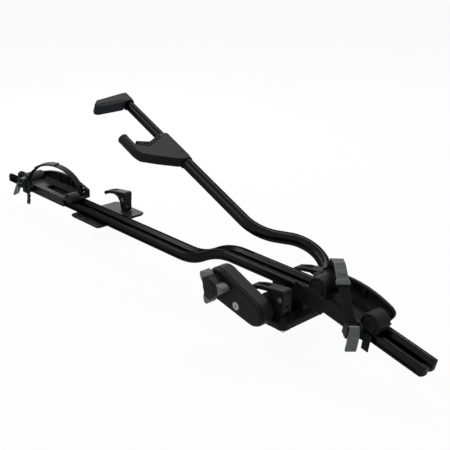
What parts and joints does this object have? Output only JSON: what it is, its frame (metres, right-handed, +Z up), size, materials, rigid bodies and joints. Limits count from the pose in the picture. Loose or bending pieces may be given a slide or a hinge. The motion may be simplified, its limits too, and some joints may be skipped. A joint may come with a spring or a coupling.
{
  "type": "roof mounted bike carrier",
  "caption": "Roof bike carrier: stepped twin ridge rail on clamping feet, pivoting frame arm with a knob driven jaw, and strapped wheel holders front and rear.",
  "frame": {"origin": "on the front foot's underside, straight below the arm pivot, in the rail's middle plane", "axes": "+X along the rail to the front of the vehicle, +Y across the vehicle away from the knob, +Z up from the bars"},
  "size_m": [1.4585, 0.3015, 0.36],
  "materials": {
    "satin_black": "black anodised aluminium, satin",
    "black_plastic": "fine grained moulded plastic",
    "black_rubber": "matt moulded rubber",
    "strap_black": "flexible strap, satin",
    "grey_plastic": "moulded grey, satin",
    "light_grey_plastic": "moulded light grey, satin",
    "lock_metal": "nickel plated, satin",
    "zinc_steel": "zinc plated",
    "bush_plastic": "acetal, satin"
  },
  "bodies": {
    "root": {"rail": "satin_black", "front_end_cap": "black_plastic", "rear_end_cap": "black_plastic", "front_foot": "black_plastic", "front_foot_pad": "black_rubber", "pivot_bushes": "bush_plastic", "rail_nut_plate": "zinc_steel", "rail_bolts": "zinc_steel", "front_wheel_holder": "black_plastic", "front_holder_screws": "zinc_steel", "front_strap": "strap_black", "front_strap_pad": "grey_plastic", "front_buckle": "black_plastic", "front_strap_pins": "zinc_steel"},
    "arm": {"arm_tube": "satin_black", "pivot_collar": "zinc_steel", "knob_housing": "black_plastic", "hub_spacer": "black_plastic", "housing_cover": "black_plastic", "cover_screws": "zinc_steel", "lower_claw": "black_plastic", "lower_claw_pad": "black_rubber", "tube_collar": "black_plastic", "drive_cable": "zinc_steel"},
    "arm_lock": {"arm_lock_core": "lock_metal"},
    "knob": {"knob_core": "black_plastic", "knob_tips": "grey_plastic", "knob_shaft": "zinc_steel", "clutch_plate": "zinc_steel", "cable_spool": "zinc_steel"},
    "jaw": {"inner_tube": "satin_black", "upper_claw": "black_plastic", "upper_claw_pad": "black_rubber", "puller_rod": "zinc_steel"},
    "rear_foot_body": {"rear_foot": "black_plastic", "rear_foot_pad": "black_rubber", "rear_slider": "zinc_steel", "rear_slider_screws": "zinc_steel"},
    "front_buckle_arm": {"front_buckle_lever": "grey_plastic"},
    "rear_holder": {"rear_wheel_holder": "black_plastic", "rear_strap": "strap_black", "rear_strap_pad": "grey_plastic", "rear_buckle": "black_plastic", "rear_strap_pins": "zinc_steel"},
    "rear_buckle_arm": {"rear_buckle_lever": "light_grey_plastic"},
    "near_bolt": {"near_eye_bolt": "zinc_steel", "near_lever_pin": "zinc_steel", "near_t_nut": "zinc_steel"},
    "near_lever_body": {"near_lever": "black_plastic"},
    "near_lock": {"near_lever_lock": "lock_metal"},
    "far_bolt": {"far_eye_bolt": "zinc_steel", "far_lever_pin": "zinc_steel", "far_t_nut": "zinc_steel"},
    "far_lever_body": {"far_lever": "black_plastic"},
    "far_lock": {"far_lever_lock": "lock_metal"},
    "rear_bolt": {"rear_eye_bolt": "zinc_steel", "rear_lever_pin": "zinc_steel", "rear_t_nut": "zinc_steel"},
    "rear_lever_body": {"rear_lever": "black_plastic"},
    "rear_lock": {"rear_lever_lock": "lock_metal"}
  },
  "joints": [
    {"name": "arm_pivot", "type": "hinge", "parent": "root", "child": "arm", "pos_m": [0, 0, 0.039], "axis": [0, 1, 0], "range_deg": [-23, 55]},
    {"name": "jaw_slide", "type": "slide", "parent": "arm", "child": "jaw", "axis": [-0.9092, 0, 0.4163], "range_m": [-0.095, 0.01]},
    {"name": "knob_turn", "type": "hinge", "parent": "arm", "child": "knob", "pos_m": [-0.09184, -0.14, 0.0618], "axis": [0, -1, 0], "range_deg": [-34, 312]},
    {"name": "arm_lock_turn", "type": "hinge", "parent": "arm", "child": "arm_lock", "pos_m": [-0.03924, -0.126, 0.03497], "axis": [0, -1, 0], "range_deg": [0, 90]},
    {"name": "near_bolt_slide", "type": "slide", "parent": "root", "child": "near_bolt", "axis": [0, 0, -1], "range_m": [0, 0.0016]},
    {"name": "near_lever_hinge", "type": "hinge", "parent": "near_bolt", "child": "near_lever_body", "pos_m": [0.034, -0.068, 0.036], "axis": [0, 1, 0], "range_deg": [-1, 81]},
    {"name": "near_lock_turn", "type": "hinge", "parent": "near_lever_body", "child": "near_lock", "pos_m": [0.034, -0.068, 0.058], "axis": [0, -1, 0], "range_deg": [0, 90]},
    {"name": "far_bolt_slide", "type": "slide", "parent": "root", "child": "far_bolt", "axis": [0, 0, -1], "range_m": [0, 0.0016]},
    {"name": "far_lever_hinge", "type": "hinge", "parent": "far_bolt", "child": "far_lever_body", "pos_m": [0.034, 0.058, 0.036], "axis": [0, 1, 0], "range_deg": [-1, 81]},
    {"name": "far_lock_turn", "type": "hinge", "parent": "far_lever_body", "child": "far_lock", "pos_m": [0.034, 0.058, 0.058], "axis": [0, 1, 0], "range_deg": [0, 90]},
    {"name": "rear_bolt_slide", "type": "slide", "parent": "rear_foot_body", "child": "rear_bolt", "axis": [0, 0, -1], "range_m": [0, 0.0016]},
    {"name": "rear_lever_hinge", "type": "hinge", "parent": "rear_bolt", "child": "rear_lever_body", "pos_m": [-0.677, 0.075, 0.021], "axis": [0, 1, 0], "range_deg": [-1, 81]},
    {"name": "rear_lock_turn", "type": "hinge", "parent": "rear_lever_body", "child": "rear_lock", "pos_m": [-0.677, 0.075, 0.043], "axis": [0, -1, 0], "range_deg": [0, 90]},
    {"name": "rear_foot_slide", "type": "slide", "parent": "root", "child": "rear_foot_body", "axis": [1, 0, 0], "range_m": [0, 0.25]},
    {"name": "rear_holder_slide", "type": "slide", "parent": "root", "child": "rear_holder", "axis": [1, 0, 0], "range_m": [-0.02, 0.06]},
    {"name": "front_buckle_hinge", "type": "hinge", "parent": "root", "child": "front_buckle_arm", "pos_m": [0.19197, -0.05021, 0.05004], "axis": [-0.5223, -0.8447, 0.1168], "range_deg": [0, 100]},
    {"name": "rear_buckle_hinge", "type": "hinge", "parent": "rear_holder", "child": "rear_buckle_arm", "pos_m": [-0.98926, -0.05207, 0.0512], "axis": [-0.3962, 0.9182, 0], "range_deg": [0, 100]}
  ],
  "couplings": [
    {"joint": "knob_turn", "follows": "jaw_slide", "rad_per_m": -57.14},
    {"joint": "near_lever_hinge", "follows": "near_bolt_slide", "rad_per_m": 872.6},
    {"joint": "far_lever_hinge", "follows": "far_bolt_slide", "rad_per_m": 872.6},
    {"joint": "rear_lever_hinge", "follows": "rear_bolt_slide", "rad_per_m": 872.6}
  ]
}
